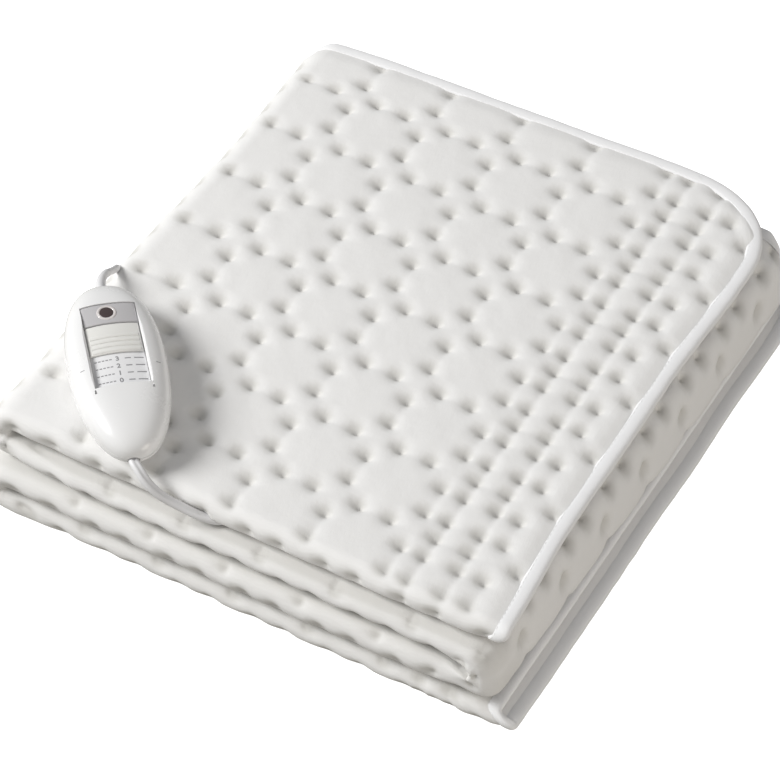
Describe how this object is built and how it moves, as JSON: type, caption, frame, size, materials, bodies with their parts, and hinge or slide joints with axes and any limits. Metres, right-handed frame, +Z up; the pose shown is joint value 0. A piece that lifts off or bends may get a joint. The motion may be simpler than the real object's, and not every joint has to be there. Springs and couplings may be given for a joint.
{
  "type": "heated mattress pad",
  "caption": "Quilted heated mattress pad folded into a flat stack, with bound edges, a sliding hand switch on top and its mains lead coiled beside it.",
  "frame": {"origin": "on the surface it lies on, under the middle of the folded pad with its switch", "axes": "+Z up; -Y is the front, where the pad is folded in half and its rolls show; +X is the side with the bound short end of the top layer"},
  "size_m": [0.4363, 0.3912, 0.0971],
  "materials": {
    "quilted_cloth": "brushed non-woven, matt",
    "binding_tape": "smooth tape",
    "switch_plastic": "satin gloss",
    "slider_plastic": "satin",
    "lens_plastic": "clear gloss",
    "lead_plastic": "satin",
    "plug_plastic": "fine grain",
    "pin_metal": "nickel plated"
  },
  "bodies": {
    "pad": {"pad": "quilted_cloth", "binding": "binding_tape", "switch_lower_shell": "switch_plastic", "switch_upper_shell": "switch_plastic", "switch_window": "lens_plastic", "switch_label": "switch_plastic", "mains_relief": "lead_plastic", "pad_lead": "lead_plastic", "mains_lead": "lead_plastic", "lead_coil": "lead_plastic", "coil_tie": "plug_plastic", "lead_tail": "lead_plastic", "plug_relief": "plug_plastic", "plug_body": "plug_plastic", "plug_pin_left": "pin_metal", "plug_pin_right": "pin_metal"},
    "slider": {"switch_slider": "slider_plastic"}
  },
  "joints": [
    {"name": "heat_setting", "type": "slide", "parent": "pad", "child": "slider", "axis": [0.6428, -0.766, 0], "range_m": [0, 0.0174]}
  ]
}
